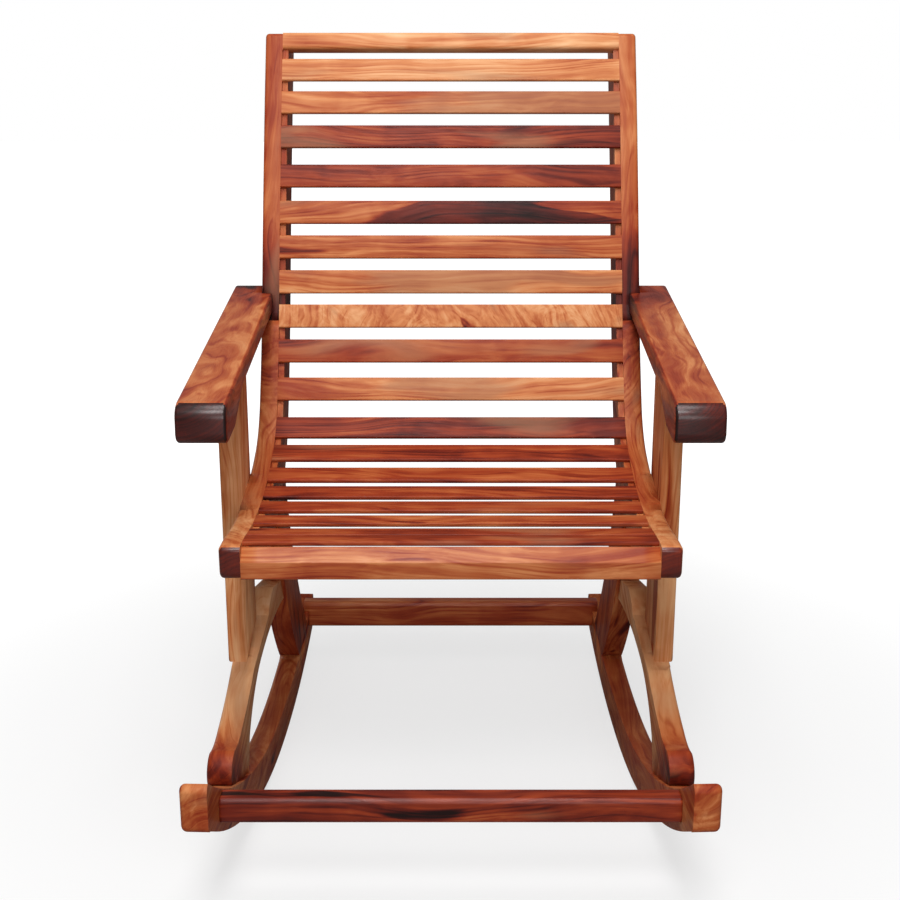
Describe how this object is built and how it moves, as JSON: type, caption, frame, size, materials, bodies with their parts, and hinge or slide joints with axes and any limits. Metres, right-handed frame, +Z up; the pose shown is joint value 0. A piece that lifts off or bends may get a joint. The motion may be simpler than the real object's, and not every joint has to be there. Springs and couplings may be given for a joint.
{
  "type": "rocking chair",
  "caption": "Slatted hardwood rocking chair with S-curved side rails, flat sloping arms with rolled noses, upright front legs, swept rear legs and curved braces on bow rockers.",
  "frame": {"origin": "on the floor under the middle of the chair's depth, in its plane of symmetry", "axes": "+X across the seat, +Y to the back of the chair, +Z up"},
  "size_m": [0.634, 0.8186, 1.0223],
  "materials": {
    "slat_wood": "satin polished figured hardwood, honey to red-brown, a different board for each slat",
    "rail_wood": "satin polished figured hardwood, honey brown with dark red streaks",
    "arm_wood": "glossy polished hardwood with swirled figure and dark end grain",
    "frame_wood": "satin polished hardwood, orange brown with dark streaks",
    "stretcher_wood": "satin polished hardwood, deep red-brown",
    "dowel_wood": "plain dry hardwood dowel"
  },
  "bodies": {
    "root": {"arm_left": "arm_wood", "arm_right": "arm_wood", "back_post_left": "rail_wood", "back_post_right": "rail_wood", "crest_rail": "slat_wood", "frame_dowels": "dowel_wood", "front_leg_left": "frame_wood", "front_leg_right": "frame_wood", "front_seat_rail": "slat_wood", "front_stretcher": "stretcher_wood", "leg_brace_left": "frame_wood", "leg_brace_right": "frame_wood", "rear_leg_left": "frame_wood", "rear_leg_right": "frame_wood", "rear_stretcher": "stretcher_wood", "rocker_left": "frame_wood", "rocker_right": "frame_wood", "seat_rail_left": "rail_wood", "seat_rail_right": "rail_wood", "slat_01": "slat_wood", "slat_02": "slat_wood", "slat_03": "slat_wood", "slat_04": "slat_wood", "slat_05": "slat_wood", "slat_06": "slat_wood", "slat_07": "slat_wood", "slat_08": "slat_wood", "slat_09": "slat_wood", "slat_10": "slat_wood", "slat_11": "slat_wood", "slat_12": "slat_wood", "slat_13": "slat_wood", "slat_14": "slat_wood", "slat_15": "slat_wood", "slat_16": "slat_wood", "slat_17": "slat_wood", "slat_18": "slat_wood", "slat_dowels": "dowel_wood"}
  },
  "joints": []
}
